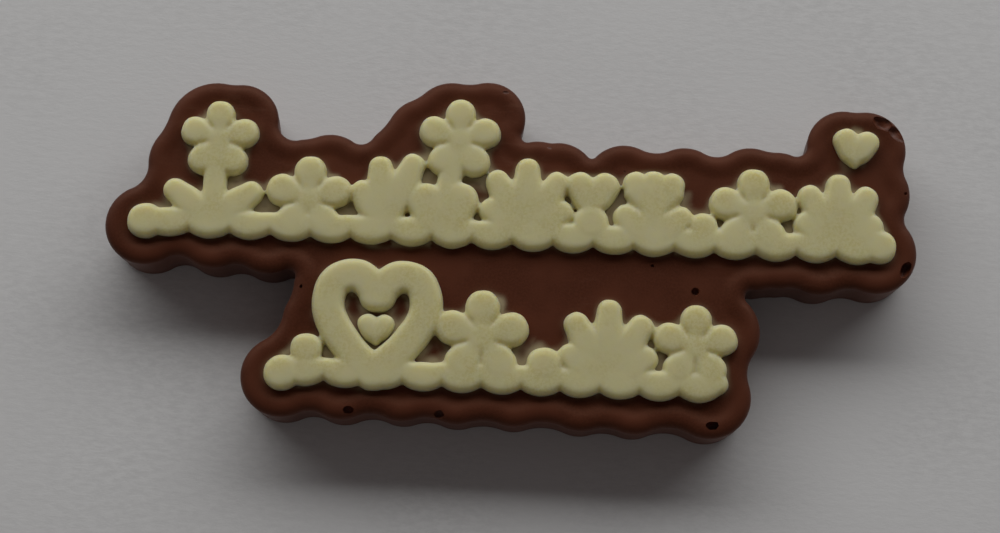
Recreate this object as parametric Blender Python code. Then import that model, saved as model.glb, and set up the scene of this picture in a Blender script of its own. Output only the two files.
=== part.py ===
"""Moulded milk-chocolate plaque with raised white-chocolate garlands.

Sizes are in millimetres and are turned to metres where a mesh is made.
+X runs along the two rows, +Y towards the upper edge and +Z up, with the underside at z = 0.
"""
import math

import bmesh
import bpy
from mathutils import Vector

MM = 0.001

# Driving heights of the milk-chocolate body.
FIELD_HEIGHT = 8.0
RIM_HEIGHT = 8.4
FOOT_CHAMFER = 0.35
WALL_LEAN = 0.4
SHOULDER_WIDTH = 1.1
RIM_WIDTH = 2.15

# Driving sizes of the white-chocolate relief.
RELIEF_GAP = 0.3
RELIEF_FOOT = 0.95
RELIEF_SLOPE = 0.18
RELIEF_TOP = 1.3
LEAF_WIDTH = 3.3
DOME_POWER = 2.4
DOME_SIDES = 5
BURIED = 1.2
UNEVENNESS = 0.03

OUTLINE_STEP = 1.9

# Corners closer than this after a Boolean are merged.
WELD = 0.01

# The outline is a chain of round lobes, anticlockwise from the left end. Each entry is the
# lobe's centre x, centre y and radius, and the radius of the hollow that joins it to the next.
LOBES = [
    (-43.1, 1.6, 4.8, 2.5), (-35.0, 1.2, 4.5, 3.0), (-28.6, 0.8, 4.5, 0.9),
    (-20.3, -5.3, 5.0, 6.0), (-21.4, -9.3, 5.0, 4.0), (-26.0, -15.8, 4.8, 3.0),
    (-19.0, -16.0, 4.6, 4.0), (-12.0, -15.9, 4.6, 4.0), (-5.6, -16.0, 4.6, 6.0),
    (1.0, -16.0, 4.6, 6.0), (8.8, -16.2, 4.6, 5.0), (15.0, -16.3, 4.6, 5.0),
    (23.6, -16.2, 4.9, 4.0), (24.3, -8.5, 5.1, 0.9), (28.8, 1.3, 4.6, 6.0),
    (31.6, 1.6, 4.6, 3.0), (36.2, 1.0, 4.6, 4.0), (42.7, 1.7, 4.9, 2.0),
    (42.2, 8.8, 4.6, 3.0), (41.6, 14.2, 4.7, 6.0), (39.0, 14.4, 4.5, 1.2),
    (31.2, 9.0, 4.5, 6.0), (28.0, 9.3, 4.6, 3.0), (20.2, 9.1, 4.5, 4.0),
    (13.0, 9.0, 4.6, 0.6), (5.2, 9.0, 4.6, 3.0), (2.8, 9.2, 4.5, 0.7),
    (-3.4, 16.2, 4.5, 6.0), (-7.6, 15.6, 4.9, 6.0), (-10.8, 13.8, 4.6, 8.0),
    (-13.2, 10.6, 4.6, 1.6), (-21.8, 8.9, 4.6, 6.0), (-24.6, 8.4, 4.4, 2.0),
    (-32.7, 14.7, 4.5, 6.0), (-35.6, 13.4, 5.9, 8.0), (-38.2, 9.4, 5.2, 3.0),
]

# Burst bubbles and chips in the body: centre x, y, z, half sizes along and across, depth, turn.
BLEMISHES = [
    (43.5, 17.4, 8.4, 1.3, 0.85, 0.9, -24.0),
    (45.1, 16.2, 8.3, 1.4, 0.75, 0.75, -44.0),
    (46.15, -0.25, 8.0, 1.2, 0.62, 0.8, 61.5),
    (24.0, -19.6, 7.9, 1.0, 0.6, 0.7, 6.0),
    (-18.0, -19.5, 8.1, 0.7, 0.5, 0.6, 0.0),
    (-7.5, -19.6, 8.1, 0.6, 0.5, 0.6, 0.0),
    (21.7, -3.9, 8.1, 0.5, 0.5, 0.7, 0.0),
]


def clear_scene():
    for item in list(bpy.data.objects):
        bpy.data.objects.remove(item, do_unlink=True)


def chocolate(name, colour, roughness):
    material = bpy.data.materials.new(name)
    material.use_nodes = True
    shader = material.node_tree.nodes["Principled BSDF"]
    shader.inputs["Base Color"].default_value = (*colour, 1.0)
    shader.inputs["Roughness"].default_value = roughness
    shader.inputs["Metallic"].default_value = 0.0
    return material


def add_object(name, mesh_builder, material):
    """Turn a bmesh in millimetres into a named object in metres."""
    bmesh.ops.recalc_face_normals(mesh_builder, faces=mesh_builder.faces)
    bmesh.ops.scale(mesh_builder, vec=(MM, MM, MM), verts=mesh_builder.verts)
    mesh = bpy.data.meshes.new(name)
    mesh_builder.to_mesh(mesh)
    mesh_builder.free()
    mesh.materials.append(material)
    item = bpy.data.objects.new(name, mesh)
    bpy.context.scene.collection.objects.link(item)
    return item


def apply_boolean(item, operands, operation):
    """Boolean the item with every object of a collection, apply it and remove them."""
    group = bpy.data.collections.new(item.name + "_operands")
    bpy.context.scene.collection.children.link(group)
    for operand in operands:
        bpy.context.scene.collection.objects.unlink(operand)
        group.objects.link(operand)
    modifier = item.modifiers.new(operation.lower(), "BOOLEAN")
    modifier.operation = operation
    modifier.solver = "EXACT"
    modifier.operand_type = "COLLECTION"
    modifier.collection = group
    bpy.context.view_layer.update()
    evaluated = item.evaluated_get(bpy.context.evaluated_depsgraph_get())
    mesh = bpy.data.meshes.new_from_object(evaluated)
    weld(mesh)
    item.modifiers.clear()
    item.data = mesh
    for operand in operands:
        bpy.data.objects.remove(operand, do_unlink=True)
    bpy.data.collections.remove(group)


def weld(mesh):
    """Merge the slivers that a Boolean leaves where shapes nearly meet."""
    welded = bmesh.new()
    welded.from_mesh(mesh)
    bmesh.ops.remove_doubles(welded, verts=welded.verts, dist=WELD * MM)
    bmesh.ops.dissolve_degenerate(welded, edges=welded.edges, dist=WELD * MM / 2)
    welded.to_mesh(mesh)
    welded.free()


# Body

def web_centre(lobe, follower):
    """Centre of the hollow that touches two neighbouring lobes from outside."""
    ax, ay, ar, web = lobe
    bx, by, br, _ = follower
    span = math.hypot(bx - ax, by - ay)
    ux, uy = (bx - ax) / span, (by - ay) / span
    along = ((ar + web) ** 2 - (br + web) ** 2 + span ** 2) / (2 * span)
    away = math.sqrt((ar + web) ** 2 - along ** 2)
    return ax + along * ux + away * uy, ay + along * uy - away * ux


def arc_points(centre, radius, start, sweep):
    """Points along an arc, its start included and its end left to the next arc."""
    count = max(2, math.ceil(radius * abs(sweep) / OUTLINE_STEP))
    angles = [start + sweep * i / count for i in range(count)]
    return [(centre[0], centre[1], radius, angle) for angle in angles]


def outline_arcs():
    """The outline as (centre x, centre y, signed radius, angle) for each of its points.

    A lobe's radius is positive and a hollow's negative, so one inset serves both.
    """
    webs = []
    for i, lobe in enumerate(LOBES):
        webs.append(web_centre(lobe, LOBES[(i + 1) % len(LOBES)]))
    points = []
    for i, (x, y, radius, web) in enumerate(LOBES):
        before, after = webs[i - 1], webs[i]
        follower = LOBES[(i + 1) % len(LOBES)]
        start = math.atan2(before[1] - y, before[0] - x)
        end = math.atan2(after[1] - y, after[0] - x)
        sweep = (end - start) % math.tau
        points += arc_points((x, y), radius, start, sweep)
        start = math.atan2(y - after[1], x - after[0])
        end = math.atan2(follower[1] - after[1], follower[0] - after[0])
        sweep = -((start - end) % math.tau)
        points += [(cx, cy, -r, a) for cx, cy, r, a in arc_points(after, web, start, sweep)]
    return points


def inset_point(arc_point, inset):
    cx, cy, radius, angle = arc_point
    reach = abs(radius - inset)
    return cx + reach * math.cos(angle), cy + reach * math.sin(angle)


def body_profile():
    """Inset from the outline and height of each ring, from the foot to the field."""
    rim_middle = (SHOULDER_WIDTH + RIM_WIDTH) / 2
    return [
        (WALL_LEAN + FOOT_CHAMFER, 0.0),
        (WALL_LEAN, FOOT_CHAMFER),
        (0.0, FIELD_HEIGHT - 1.3),
        (0.4, FIELD_HEIGHT - 0.1),
        (SHOULDER_WIDTH, RIM_HEIGHT - 0.05),
        (rim_middle, RIM_HEIGHT),
        (RIM_WIDTH, FIELD_HEIGHT),
    ]


def build_body(material):
    arcs = outline_arcs()
    body = bmesh.new()
    rings = []
    for inset, height in body_profile():
        ring = []
        for arc_point in arcs:
            x, y = inset_point(arc_point, inset)
            ring.append(body.verts.new((x, y, height)))
        rings.append(ring)
    for lower, upper in zip(rings, rings[1:]):
        for i in range(len(arcs)):
            j = (i + 1) % len(arcs)
            body.faces.new((lower[i], lower[j], upper[j], upper[i]))
    body.faces.new(rings[0])
    body.faces.new(rings[-1])
    item = add_object("plaque_base", body, material)
    apply_boolean(item, [blemish_cutter(blemish, material) for blemish in BLEMISHES], "DIFFERENCE")
    return item


def blemish_cutter(blemish, material):
    x, y, z, half_length, half_width, depth, turn = blemish
    cutter = bmesh.new()
    bmesh.ops.create_icosphere(cutter, subdivisions=2, radius=1.0)
    bmesh.ops.scale(cutter, vec=(half_length, half_width, depth), verts=cutter.verts)
    turned = math.radians(turn)
    for vert in cutter.verts:
        px, py, pz = vert.co
        vert.co = Vector((
            x + px * math.cos(turned) - py * math.sin(turned),
            y + px * math.sin(turned) + py * math.cos(turned),
            z + pz,
        ))
    return add_object("blemish", cutter, material)


# Strokes: each is a list of (x, y, half width) along its middle line

def polar(x, y, angle, distance):
    """The point at an angle in degrees from +X and a distance."""
    turned = math.radians(angle)
    return x + distance * math.cos(turned), y + distance * math.sin(turned)


def leaf(x, y, angle, length, width):
    """A leaf from its stalk: widest past the middle and blunt at the tip."""
    half = width / 2
    reach = length - half * 0.84
    stroke = []
    for share, fullness in ((0.0, 0.66), (0.35, 0.88), (0.7, 1.0), (1.0, 0.84)):
        stroke.append((*polar(x, y, angle, reach * share), half * fullness))
    return stroke


def ball(x, y, radius):
    return [(x - radius * 0.05, y, radius), (x + radius * 0.05, y, radius)]


def flower(x, y, radius):
    """Five round petals about a ball."""
    petal = radius * 0.355
    strokes = []
    for i in range(5):
        angle = 90 + 72 * i
        inner = polar(x, y, angle, radius * 0.30)
        outer = polar(x, y, angle, radius - petal)
        middle = ((inner[0] + outer[0]) / 2, (inner[1] + outer[1]) / 2)
        strokes.append([(*inner, petal * 0.62), (*middle, petal * 0.92), (*outer, petal)])
    strokes.append(ball(x, y, radius * 0.30))
    return strokes


def heart(x, y, width, turn=0.0):
    """Two drops that meet at the point, the right one from a little higher."""
    unit = width / 10
    strokes = []
    for side in (-1, 1):
        stroke = []
        for px, py, half in ((-0.3, -3.6, 0.9), (1.1, -1.6, 2.1), (2.3, 1.3, 2.6)):
            lift = 0.12 * side * (1 if py < 0 else 0)
            stroke.append((*turned_point(x, y, side * px * unit, (py + lift) * unit, turn), half * unit))
        strokes.append(stroke)
    return strokes


def turned_point(x, y, along, across, turn):
    turned = math.radians(turn)
    px = x + along * math.cos(turned) - across * math.sin(turned)
    py = y + along * math.sin(turned) + across * math.cos(turned)
    return px, py


def heart_outline(x, y, width, half_width):
    """A heart drawn as one even cord, in two halves."""
    unit = width / 10
    bends = ((-0.2, -4.9), (2.3, -2.6), (4.3, 0.6), (3.9, 3.3), (1.8, 4.0), (-0.2, 2.2))
    strokes = []
    for side in (-1, 1):
        stroke = [(x + side * px * unit, y + py * unit, half_width) for px, py in bends]
        strokes.append(smooth(stroke, 2))
    return strokes


def fan(x, y, reach, width):
    """A shell of five ribs that spread from one foot."""
    strokes = []
    for lean, share in ((-58, 0.68), (-30, 0.93), (0, 1.0), (30, 0.93), (58, 0.68)):
        start = polar(x, y, 90 + lean, 0.4)
        strokes.append(leaf(*start, 90 + lean, reach * share, width))
    return strokes


def tulip(x, y, reach, width):
    """A cup of three points on a stalk, with a leaf at each side of its foot."""
    cup = y + reach * 0.5
    strokes = [[(x, y, 1.1), (x, cup + 0.6, 1.8)]]
    for lean in (-22, 0, 22):
        strokes.append(leaf(x - 0.05 * lean, cup, 90 + lean, reach * 0.5, width))
    for lean in (-50, 50):
        strokes.append(leaf(x, y, 90 + lean, reach * 0.68, width))
    return strokes


def bloom(foot, centre, radius):
    """A flower on an upright stalk."""
    return [[(*foot, 1.4), (*centre, 1.3)], *flower(*centre, radius)]


def tuft(x, y, leaves):
    """Leaves of one width that spread from one foot, each given by its angle and length."""
    return [leaf(x, y, angle, length, LEAF_WIDTH) for angle, length in leaves]


def scallops(start, end, y, pitch):
    """A level cord that swells downwards once every pitch."""
    count = round((end - start) / pitch)
    stations = count * 4
    stroke = []
    for i in range(stations + 1):
        x = start + (end - start) * i / stations
        swell = abs(math.sin(math.pi * count * i / stations))
        stroke.append((x, y - 0.5 * swell, 1.15 + 0.5 * swell))
    return [stroke]


def smooth(stroke, steps):
    """A Catmull-Rom curve through a stroke's points."""
    ends = [stroke[0]] + stroke + [stroke[-1]]
    curve = []
    for a, b, c, d in zip(ends, ends[1:], ends[2:], ends[3:]):
        for i in range(steps):
            t = i / steps
            curve.append(tuple(
                0.5 * (2 * q + (r - p) * t + (2 * p - 5 * q + 4 * r - s) * t * t
                       + (3 * q - p - 3 * r + s) * t ** 3)
                for p, q, r, s in zip(a, b, c, d)
            ))
    curve.append(stroke[-1])
    return curve


def upper_garland():
    strokes = [ball(-43.0, 1.9, 2.0)]
    strokes += bloom((-35.3, 2.6), (-35.0, 12.0), 4.75)
    strokes += tuft(-35.3, 2.2, ((142, 7.0), (38, 7.0)))
    strokes += flower(-24.0, 5.2, 5.2)
    strokes += tuft(-14.9, 2.2, ((125, 6.4), (97, 8.6), (69, 9.6)))
    strokes += bloom((-8.0, 6.0), (-6.6, 13.1), 4.95)
    strokes += heart(-8.2, 4.4, 8.6, 4)
    strokes += fan(1.6, 2.2, 8.6, 3.4)
    strokes.append(ball(9.2, 3.7, 2.0))
    strokes += heart(9.3, 7.3, 6.4)
    strokes += tulip(16.5, 1.9, 8.4, 3.5)
    strokes.append(ball(22.4, 3.8, 1.6))
    strokes += flower(28.2, 5.7, 5.3)
    strokes += fan(38.2, 2.2, 8.2, 3.4)
    strokes.append(ball(43.0, 2.2, 1.9))
    strokes += scallops(-42.6, 42.8, 2.3, 4.7)
    return strokes


def lower_garland():
    strokes = [ball(-25.9, -15.5, 2.0), ball(-23.2, -12.6, 1.8)]
    strokes += heart_outline(-15.3, -8.9, 13.0, 1.85)
    strokes += flower(-3.0, -10.5, 5.6)
    strokes.append(ball(4.4, -13.4, 2.0))
    strokes += fan(11.7, -15.0, 9.2, 3.4)
    strokes += flower(21.8, -10.6, 5.0)
    strokes += scallops(-25.6, 24.6, -14.8, 4.6)
    return strokes


# Relief solids

def dome_height(half_width):
    return min(RELIEF_TOP, RELIEF_FOOT + RELIEF_SLOPE * half_width)


def dome_section():
    """Share of the half width and of the height at each point over a stroke."""
    section = []
    for i in range(DOME_SIDES + 1):
        angle = math.pi * i / DOME_SIDES
        across = math.copysign(abs(math.cos(angle)) ** (2 / DOME_POWER), math.cos(angle))
        section.append((across, math.sin(angle) ** (2 / DOME_POWER)))
    return section


def stroke_stations(stroke):
    """Middle, direction, half width and height of each section, with rounded ends."""
    stations = []
    for i, (x, y, half) in enumerate(stroke):
        before, after = stroke[max(i - 1, 0)], stroke[min(i + 1, len(stroke) - 1)]
        heading = math.atan2(after[1] - before[1], after[0] - before[0])
        stations.append((x, y, heading, half, dome_height(half)))
    for end, sign in ((0, -1), (-1, 1)):
        x, y, heading, half, height = stations[end]
        rounded = []
        for angle in (45, 78):
            reach = sign * half * math.sin(math.radians(angle))
            share = math.cos(math.radians(angle))
            rounded.append((
                x + reach * math.cos(heading), y + reach * math.sin(heading), heading,
                half * share, height * share ** (2 / DOME_POWER)))
        if sign < 0:
            stations = rounded[::-1] + stations
        else:
            stations = stations + rounded
    return stations


def stroke_object(stroke, share, material):
    """One closed dome along a stroke, its foot sunk below the cut and its height scaled."""
    foot = FIELD_HEIGHT + RELIEF_GAP
    section = dome_section()
    solid = bmesh.new()
    rings = []
    for x, y, heading, half, height in stroke_stations(stroke):
        outline = [(half, foot - BURIED)]
        outline += [(half * across, foot + height * share * up) for across, up in section]
        outline.append((-half, foot - BURIED))
        ring = []
        for across, z in outline:
            px = x - across * math.sin(heading)
            py = y + across * math.cos(heading)
            ring.append(solid.verts.new((px, py, z)))
        rings.append(ring)
    for first, second in zip(rings, rings[1:]):
        for i in range(len(first)):
            j = (i + 1) % len(first)
            solid.faces.new((first[i], first[j], second[j], second[i]))
    solid.faces.new(rings[0])
    solid.faces.new(rings[-1])
    return add_object("stroke", solid, material)


def build_relief(name, strokes, material):
    """Fuse the strokes and cut their foot level, just clear of the body."""
    pieces = []
    for i, stroke in enumerate(strokes):
        share = 1 + UNEVENNESS * math.sin(2.4 * i)
        pieces.append(stroke_object(stroke, share, material))
    item = pieces.pop(0)
    item.name = name
    if pieces:
        apply_boolean(item, pieces, "UNION")
    foot = FIELD_HEIGHT + RELIEF_GAP
    slab = bmesh.new()
    bmesh.ops.create_cube(slab, size=1.0)
    bmesh.ops.scale(slab, vec=(120.0, 80.0, 2 * BURIED), verts=slab.verts)
    bmesh.ops.translate(slab, vec=(0.0, 0.0, foot - BURIED), verts=slab.verts)
    apply_boolean(item, [add_object("slab", slab, material)], "DIFFERENCE")
    item.data.name = name
    return item


def centre_on_body(items, body):
    """Put the origin under the middle of the body's box."""
    xs = [vert.co.x for vert in body.data.vertices]
    ys = [vert.co.y for vert in body.data.vertices]
    middle = Vector(((min(xs) + max(xs)) / 2, (min(ys) + max(ys)) / 2, 0.0))
    for item in items:
        for vert in item.data.vertices:
            vert.co -= middle


def shade(item):
    item.data.shade_smooth()
    item.data.set_sharp_from_angle(angle=math.radians(40))


def main():
    clear_scene()
    milk = chocolate("milk_chocolate", (0.075, 0.030, 0.020), 0.42)
    white = chocolate("white_chocolate", (0.62, 0.56, 0.30), 0.40)
    items = [
        build_body(milk),
        build_relief("garland_upper", upper_garland(), white),
        build_relief("garland_lower", lower_garland(), white),
        build_relief("heart_inner", heart(-15.3, -9.9, 4.2), white),
        build_relief("heart_accent", heart(40.2, 14.2, 5.4, -6), white),
    ]
    centre_on_body(items, items[0])
    for item in items:
        shade(item)


main()
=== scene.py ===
"""Looks of the moulded milk-chocolate plaque with white-chocolate garlands.

The frame gives the solids in metres. Layout sizes below are in millimetres from the plaque's own
drawing centre, and MM turns them to metres where a mesh is made.
"""
import math

import bmesh
import bpy
import numpy as np
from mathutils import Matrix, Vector, noise
from mathutils.geometry import delaunay_2d_cdt


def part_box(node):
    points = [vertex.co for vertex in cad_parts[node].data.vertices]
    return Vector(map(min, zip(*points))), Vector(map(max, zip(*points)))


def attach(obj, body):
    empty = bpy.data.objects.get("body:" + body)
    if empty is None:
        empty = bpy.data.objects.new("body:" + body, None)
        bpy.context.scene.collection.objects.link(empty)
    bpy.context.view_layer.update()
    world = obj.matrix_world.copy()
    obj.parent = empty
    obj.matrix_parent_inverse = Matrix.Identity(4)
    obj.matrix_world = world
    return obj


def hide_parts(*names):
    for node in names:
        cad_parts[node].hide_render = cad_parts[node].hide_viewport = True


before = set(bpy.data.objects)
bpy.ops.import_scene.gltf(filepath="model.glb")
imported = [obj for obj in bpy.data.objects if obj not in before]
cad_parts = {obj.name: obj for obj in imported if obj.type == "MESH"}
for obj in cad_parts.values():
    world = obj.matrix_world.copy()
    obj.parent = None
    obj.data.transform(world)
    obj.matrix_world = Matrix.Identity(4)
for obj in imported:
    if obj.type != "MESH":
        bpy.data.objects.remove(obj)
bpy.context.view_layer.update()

bl_info = {
    "name": "Chocolate plaque",
    "version": (1, 0, 0),
    "blender": (4, 5, 0),
    "location": "3D View > Sidebar > Plaque",
    "description": "Builds a moulded chocolate plaque with domed garlands, its finishes and its studio",
    "category": "Object",
}

MM = 0.001
BASE_LOW, BASE_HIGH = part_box("plaque_base")

# The outline is a chain of round lobes, anticlockwise from the left end. Each entry is the
# lobe's centre x, centre y and radius, and the radius of the hollow that joins it to the next.
LOBES = [
    (-43.1, 1.6, 4.8, 2.5), (-35.0, 1.2, 4.5, 3.0), (-28.6, 0.8, 4.5, 0.9),
    (-20.3, -5.3, 5.0, 6.0), (-21.4, -9.3, 5.0, 4.0), (-26.0, -15.8, 4.8, 3.0),
    (-19.0, -16.0, 4.6, 4.0), (-12.0, -15.9, 4.6, 4.0), (-5.6, -16.0, 4.6, 6.0),
    (1.0, -16.0, 4.6, 6.0), (8.8, -16.2, 4.6, 5.0), (15.0, -16.3, 4.6, 5.0),
    (23.6, -16.2, 4.9, 4.0), (24.3, -8.5, 5.1, 0.9), (28.8, 1.3, 4.6, 6.0),
    (31.6, 1.6, 4.6, 3.0), (36.2, 1.0, 4.6, 4.0), (42.7, 1.7, 4.9, 2.0),
    (42.2, 8.8, 4.6, 3.0), (41.6, 14.2, 4.7, 6.0), (39.0, 14.4, 4.5, 1.2),
    (31.2, 9.0, 4.5, 6.0), (28.0, 9.3, 4.6, 3.0), (20.2, 9.1, 4.5, 4.0),
    (13.0, 9.0, 4.6, 0.6), (5.2, 9.0, 4.6, 3.0), (2.8, 9.2, 4.5, 0.7),
    (-3.4, 16.2, 4.5, 6.0), (-7.6, 15.6, 4.9, 6.0), (-10.8, 13.8, 4.6, 8.0),
    (-13.2, 10.6, 4.6, 1.6), (-21.8, 8.9, 4.6, 6.0), (-24.6, 8.4, 4.4, 2.0),
    (-32.7, 14.7, 4.5, 6.0), (-35.6, 13.4, 5.9, 8.0), (-38.2, 9.4, 5.2, 3.0),
]

# Burst bubbles and chips: centre x, y, z, half sizes along and across, depth, turn in degrees.
BLEMISHES = [
    (43.5, 17.4, 8.4, 1.3, 0.85, 0.9, -24.0),
    (45.1, 16.2, 8.3, 1.4, 0.75, 0.75, -44.0),
    (46.15, -0.25, 8.0, 1.2, 0.62, 0.8, 61.5),
    (24.0, -19.6, 7.9, 1.0, 0.6, 0.7, 6.0),
    (-18.0, -19.5, 8.1, 0.7, 0.5, 0.6, 0.0),
    (-7.5, -19.6, 8.1, 0.6, 0.5, 0.6, 0.0),
    (21.7, -3.9, 8.1, 0.5, 0.5, 0.7, 0.0),
    (16.6, -1.0, 8.1, 0.22, 0.2, 0.4, 0.0),
    (46.2, 8.9, 8.3, 0.25, 0.22, 0.4, 0.0),
    (-1.3, 19.4, 8.4, 0.5, 0.3, 0.25, 10.0),
    (4.0, 12.8, 8.5, 0.6, 0.3, 0.25, -8.0),
    (-24.3, -5.2, 8.1, 0.3, 0.22, 0.4, 70.0),
]

# Milky smears of white chocolate on the body: centre x, y, radius and strength.
SMEARS = [
    (40.4, 16.2, 1.1, 1.0), (-30.0, 4.4, 1.9, 0.9), (-38.9, 5.9, 1.2, 0.5), (-32.8, 7.0, 1.4, 0.7),
    (-26.5, 7.7, 1.0, 0.7), (-21.4, 7.9, 1.1, 0.8), (-18.9, 4.6, 1.3, 0.9), (-10.4, 9.4, 1.5, 0.9),
    (-3.6, 8.3, 1.8, 0.9), (5.9, 4.6, 1.5, 0.9), (12.6, 4.6, 1.5, 0.8), (12.9, 8.4, 1.1, 0.6),
    (20.6, 7.4, 1.2, 0.6), (24.2, 6.6, 1.5, 0.8), (33.0, 5.2, 1.8, 0.9), (30.9, 8.6, 1.2, 0.7),
    (-20.6, -12.6, 1.6, 0.8), (-15.3, -6.7, 1.7, 0.7), (-8.9, -12.6, 1.8, 0.9), (-1.2, -6.4, 1.5, 1.0),
    (3.4, -11.4, 1.6, 0.8), (7.6, -11.6, 1.4, 0.7), (16.9, -11.4, 1.6, 0.9), (-9.4, -6.2, 1.2, 0.6),
]

# How far from a stroke its milky film, its faint halo and the smears still show.
FILM_REACH = 0.8
HALO_REACH = 0.2
SMEAR_HUG = (0.35, 1.3)

# Width of the leaves that spread in tufts.
LEAF_WIDTH = 3.3

# Rounding of the body's foot, and how many rings of the mesh each stretch of the profile takes.
FOOT_ROUND = 0.45
FOOT_RINGS = 5
WALL_RINGS = 9
SHOULDER_RINGS = 10
RIM_RINGS = 8

# Sweep of the garland's strokes. Shoulder, Squareness and Wander are set again from the settings.
SWEEP_INPUTS = {
    "Step": 0.2,
    "Squareness": 2.6,
    "Shoulder": 0.78,
    "Foot": 8.0,
    "Base rise": 1.28,
    "Rise per width": 0.1,
    "Highest": 1.54,
    "Wander": 0.35,
    "Sunk": 0.3,
}
SWEEP_SIDES = 36

# Lamps: size in metres, distance from the plaque and tone. The return light is low and weak.
LAMP_DISTANCE = 0.7
LAMP_TONE = (1.0, 0.995, 0.985)
WINDOW_SIZE = (1.75, 0.38)
RETURN_SIZE = (1.2, 0.35)
RETURN_AZIMUTH = math.radians(-88)
RETURN_ELEVATION = math.radians(18)
ROOM_TONE = (1.0, 0.87, 0.86, 1.0)
PAPER_HALF_SIZE = 0.6

# Depth of the field below the rim's crest in the solids.
SOLID_FIELD_DEPTH = 0.4

# Where the studio camera looks, on the drawing, at the height of the field.
CAMERA_AIM = (-1.216, -1.815)


# Drawing of the outline

def web_centre(lobe, follower):
    """Centre of the hollow that touches two neighbouring lobes from outside."""
    ax, ay, ar, web = lobe
    bx, by, br, _ = follower
    span = math.hypot(bx - ax, by - ay)
    ux, uy = (bx - ax) / span, (by - ay) / span
    along = ((ar + web) ** 2 - (br + web) ** 2 + span ** 2) / (2 * span)
    away = math.sqrt((ar + web) ** 2 - along ** 2)
    return ax + along * ux + away * uy, ay + along * uy - away * ux


def outline_arcs(step, deepest):
    """One row (centre x, centre y, signed radius, angle) for each point of the outline.

    A lobe's radius is positive and a hollow's negative. Steps suit the widest ring of each arc.
    """
    webs = [web_centre(lobe, LOBES[(i + 1) % len(LOBES)]) for i, lobe in enumerate(LOBES)]
    rows = []
    for i, (x, y, radius, web) in enumerate(LOBES):
        before, after = webs[i - 1], webs[i]
        follower = LOBES[(i + 1) % len(LOBES)]
        start = math.atan2(before[1] - y, before[0] - x)
        sweep = (math.atan2(after[1] - y, after[0] - x) - start) % math.tau
        count = max(2, math.ceil(radius * sweep / step))
        rows += [(x, y, radius, start + sweep * k / count) for k in range(count)]
        start = math.atan2(y - after[1], x - after[0])
        sweep = (start - math.atan2(follower[1] - after[1], follower[0] - after[0])) % math.tau
        count = max(2, math.ceil((web + deepest) * sweep / step))
        rows += [(*after, -web, start - sweep * k / count) for k in range(count)]
    return np.array(rows)


def inset_ring(arcs, inset):
    """The outline moved inwards by a distance."""
    reach = np.abs(arcs[:, 2] - inset)
    across = arcs[:, 0] + reach * np.cos(arcs[:, 3])
    along = arcs[:, 1] + reach * np.sin(arcs[:, 3])
    return np.stack([across, along], axis=1)


def drawing_centre():
    """The middle of the outline's box on the drawing, which is the frame's origin."""
    ring = inset_ring(outline_arcs(0.2, 0.0), 0.0)
    return (ring.min(axis=0) + ring.max(axis=0)) / 2


CENTRE = drawing_centre()


# Drawing of the garlands: each stroke is a list of (x, y, half width) along its middle line

def turned_point(x, y, along, across, turn):
    turned = math.radians(turn)
    px = x + along * math.cos(turned) - across * math.sin(turned)
    py = y + along * math.sin(turned) + across * math.cos(turned)
    return px, py


def polar(x, y, angle, distance):
    return turned_point(x, y, distance, 0.0, angle)


def leaf(x, y, angle, length, width):
    """A leaf from its stalk: widest past the middle and blunt at the tip."""
    half = width / 2
    reach = length - half * 0.84
    stroke = []
    for share, fullness in ((0.0, 0.66), (0.35, 0.88), (0.7, 1.0), (1.0, 0.84)):
        stroke.append((*polar(x, y, angle, reach * share), half * fullness))
    return stroke


def ball(x, y, radius):
    return [(x - radius * 0.05, y, radius), (x + radius * 0.05, y, radius)]


def flower(x, y, radius):
    """Five round petals about a ball."""
    petal = radius * 0.355
    strokes = []
    for i in range(5):
        angle = 90 + 72 * i
        inner = polar(x, y, angle, radius * 0.30)
        outer = polar(x, y, angle, radius - petal)
        middle = ((inner[0] + outer[0]) / 2, (inner[1] + outer[1]) / 2)
        strokes.append([(*inner, petal * 0.62), (*middle, petal * 0.92), (*outer, petal)])
    strokes.append(ball(x, y, radius * 0.30))
    return strokes


def heart(x, y, width, turn=0.0):
    """Two drops that meet at the point, the right one from a little higher."""
    unit = width / 10
    strokes = []
    for side in (-1, 1):
        stroke = []
        for px, py, half in ((-0.3, -3.6, 0.9), (1.1, -1.6, 2.1), (2.3, 1.3, 2.6)):
            lift = 0.12 * side * (1 if py < 0 else 0)
            stroke.append((*turned_point(x, y, side * px * unit, (py + lift) * unit, turn), half * unit))
        strokes.append(stroke)
    return strokes


def heart_outline(x, y, width, half_width):
    """A heart drawn as one even cord, in two halves."""
    unit = width / 10
    bends = ((-0.2, -4.9), (2.3, -2.6), (4.3, 0.6), (3.9, 3.3), (1.8, 4.0), (-0.2, 2.2))
    return [[(x + side * px * unit, y + py * unit, half_width) for px, py in bends] for side in (-1, 1)]


def fan(x, y, reach, width):
    """A shell of five ribs that spread from one foot."""
    strokes = []
    for lean, share in ((-58, 0.68), (-30, 0.93), (0, 1.0), (30, 0.93), (58, 0.68)):
        start = polar(x, y, 90 + lean, 0.4)
        strokes.append(leaf(*start, 90 + lean, reach * share, width))
    return strokes


def tulip(x, y, reach, width):
    """A cup of three points on a stalk, with a leaf at each side of its foot."""
    cup = y + reach * 0.5
    strokes = [[(x, y, 1.1), (x, cup + 0.6, 1.8)]]
    for lean in (-22, 0, 22):
        strokes.append(leaf(x - 0.05 * lean, cup, 90 + lean, reach * 0.5, width))
    for lean in (-50, 50):
        strokes.append(leaf(x, y, 90 + lean, reach * 0.68, width))
    return strokes


def bloom(foot, centre, radius):
    """A flower on an upright stalk."""
    return [[(*foot, 1.4), (*centre, 1.3)], *flower(*centre, radius)]


def tuft(x, y, leaves):
    """Leaves of one width that spread from one foot, each given by its angle and length."""
    return [leaf(x, y, angle, length, LEAF_WIDTH) for angle, length in leaves]


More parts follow.
